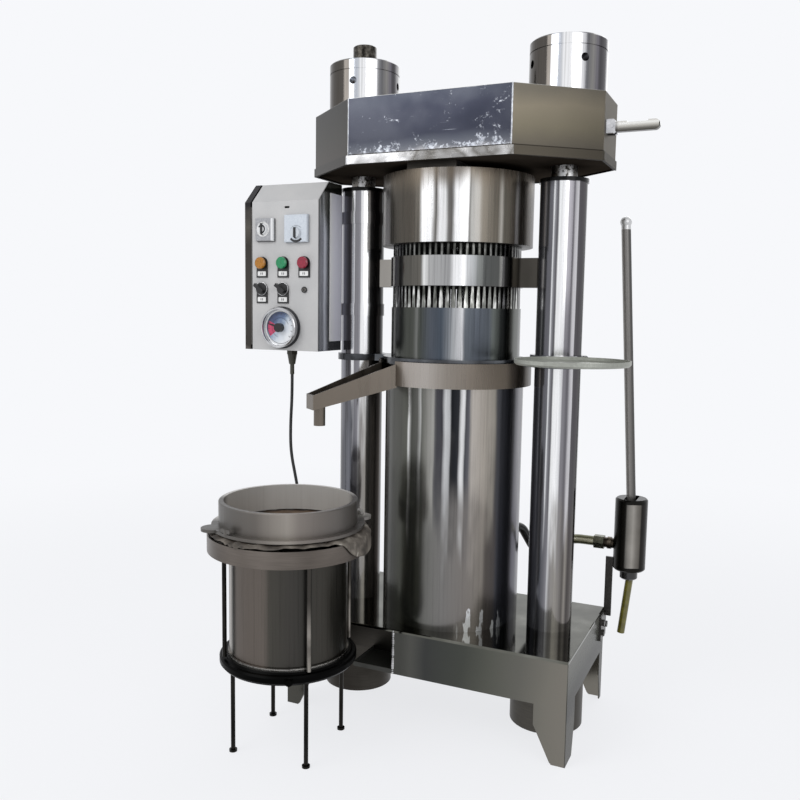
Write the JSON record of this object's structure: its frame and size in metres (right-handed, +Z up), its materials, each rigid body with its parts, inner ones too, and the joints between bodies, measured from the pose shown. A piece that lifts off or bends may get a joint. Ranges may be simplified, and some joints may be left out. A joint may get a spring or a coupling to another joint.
{
  "type": "hydraulic oil press",
  "caption": "Upright two-column hydraulic oil press with slotted barrel, oil spout, hand pump, control box and a filter drum on legs.",
  "frame": {"origin": "bottom centre of the whole, on the floor", "axes": "+Z up, +X to the right of someone facing the press, the front faces -Y"},
  "size_m": [1.0615, 0.773, 1.6558],
  "materials": {
    "mirror_steel": "mirror-polished stainless sheet",
    "satin_steel": "satin stainless",
    "dark_steel": "blackened steel",
    "cast_steel": "machined cast steel",
    "panel_grey": "light grey enamel",
    "black_plastic": "black moulded",
    "grey_plastic": "grey moulded",
    "yellow_plastic": "clear amber",
    "green_plastic": "gloss green",
    "red_plastic": "gloss red",
    "rubber": "black rubber",
    "cloth": "oil-stained filter cloth"
  },
  "bodies": {
    "frame": {"base_top_plate": "mirror_steel", "base_front_panels": "mirror_steel", "base_rear_panels": "mirror_steel", "lower_crosshead": "cast_steel", "lower_nuts": "dark_steel", "tie_rods": "dark_steel", "column_sleeves": "mirror_steel", "column_nuts": "mirror_steel", "upper_crosshead": "cast_steel", "beam_cover": "mirror_steel", "main_cylinder": "cast_steel", "gland_ring": "cast_steel", "ram_seal": "rubber", "cylinder_shroud": "mirror_steel", "oil_tray": "satin_steel", "outlet_pipe": "satin_steel", "barrel_plate": "satin_steel", "press_cage": "satin_steel", "cage_band": "mirror_steel", "guard_sleeve": "mirror_steel", "latch_clevis": "dark_steel", "pump_body": "satin_steel", "pump_gland": "black_plastic", "pump_bracket": "dark_steel", "feed_pipe": "satin_steel", "control_box": "mirror_steel", "box_bracket": "mirror_steel", "door_hinge": "dark_steel", "cable_gland": "black_plastic", "power_lead": "rubber", "power_coil": "rubber", "power_plug": "rubber", "drum_base": "dark_steel", "drum_tank": "satin_steel", "drum_gutter": "satin_steel", "drum_rods": "dark_steel", "filter_cloth": "cloth"},
    "ram": {"ram": "cast_steel", "press_plate": "satin_steel"},
    "press_head": {"head_cover": "mirror_steel", "head_block": "cast_steel"},
    "latch": {"beam_handle": "mirror_steel"},
    "swing_tray": {"tray_dish": "satin_steel", "tray_collar": "satin_steel"},
    "lever": {"pump_lever": "mirror_steel"},
    "door": {"box_door": "panel_grey", "door_lock": "dark_steel", "button_holders": "black_plastic", "meter_frames": "grey_plastic", "gauge_case": "mirror_steel"},
    "pointer": {"gauge_pointer": "satin_steel"},
    "knob_left": {"meter_knob_left": "black_plastic"},
    "knob_right": {"meter_knob_right": "grey_plastic"},
    "button_yellow": {"button_yellow": "yellow_plastic"},
    "button_green": {"button_green": "green_plastic"},
    "button_red": {"button_red": "red_plastic"},
    "selector_left": {"selector_left": "black_plastic"},
    "selector_right": {"selector_right": "black_plastic"},
    "strainer_ring": {"filter_ring": "satin_steel", "ring_clips": "satin_steel"}
  },
  "joints": [
    {"name": "ram_lift", "type": "slide", "parent": "frame", "child": "ram", "axis": [0, 0, 1], "range_m": [0, 0.2]},
    {"name": "head_slide", "type": "slide", "parent": "frame", "child": "press_head", "axis": [0, 1, 0], "range_m": [0, 0.31]},
    {"name": "latch_turn", "type": "hinge", "parent": "frame", "child": "latch", "pos_m": [0.39425, 0.1195, 1.406], "axis": [0, -1, 0], "range_deg": [0, 60]},
    {"name": "tray_swing", "type": "hinge", "parent": "frame", "child": "swing_tray", "pos_m": [0.27875, 0.1615, 0.8885], "axis": [0, 0, 1], "range_deg": [-29, 60]},
    {"name": "lever_stroke", "type": "hinge", "parent": "frame", "child": "lever", "pos_m": [0.43475, 0.3465, 0.505], "axis": [1, 0, 0], "range_deg": [-25, 12]},
    {"name": "door_swing", "type": "hinge", "parent": "frame", "child": "door", "pos_m": [-0.47475, 0.0015, 1.1035], "axis": [0, 0, -1], "range_deg": [0, 105]},
    {"name": "gauge_reading", "type": "hinge", "parent": "door", "child": "pointer", "pos_m": [-0.38375, 0.0005, 0.952], "axis": [0, 1, 0], "range_deg": [-40, 210]},
    {"name": "knob_left_turn", "type": "hinge", "parent": "door", "child": "knob_left", "pos_m": [-0.43425, 0.0005, 1.195], "axis": [0, 1, 0], "range_deg": [-135, 135]},
    {"name": "knob_right_turn", "type": "hinge", "parent": "door", "child": "knob_right", "pos_m": [-0.33825, 0.0005, 1.184], "axis": [0, 1, 0], "range_deg": [-135, 135]},
    {"name": "button_yellow_press", "type": "slide", "parent": "door", "child": "button_yellow", "axis": [0, 1, 0], "range_m": [0, 0.004], "stiffness_N_per_m": 600, "springref_m": -0.001},
    {"name": "button_green_press", "type": "slide", "parent": "door", "child": "button_green", "axis": [0, 1, 0], "range_m": [0, 0.004], "stiffness_N_per_m": 600, "springref_m": -0.001},
    {"name": "button_red_press", "type": "slide", "parent": "door", "child": "button_red", "axis": [0, 1, 0], "range_m": [0, 0.004], "stiffness_N_per_m": 600, "springref_m": -0.001},
    {"name": "selector_left_turn", "type": "hinge", "parent": "door", "child": "selector_left", "pos_m": [-0.44225, 0.0005, 1.048], "axis": [0, 1, 0], "range_deg": [0, 75]},
    {"name": "selector_right_turn", "type": "hinge", "parent": "door", "child": "selector_right", "pos_m": [-0.38025, 0.0005, 1.048], "axis": [0, 1, 0], "range_deg": [0, 75]},
    {"name": "ring_lift", "type": "slide", "parent": "frame", "child": "strainer_ring", "axis": [0, 0, 1], "range_m": [0, 0.15]}
  ]
}
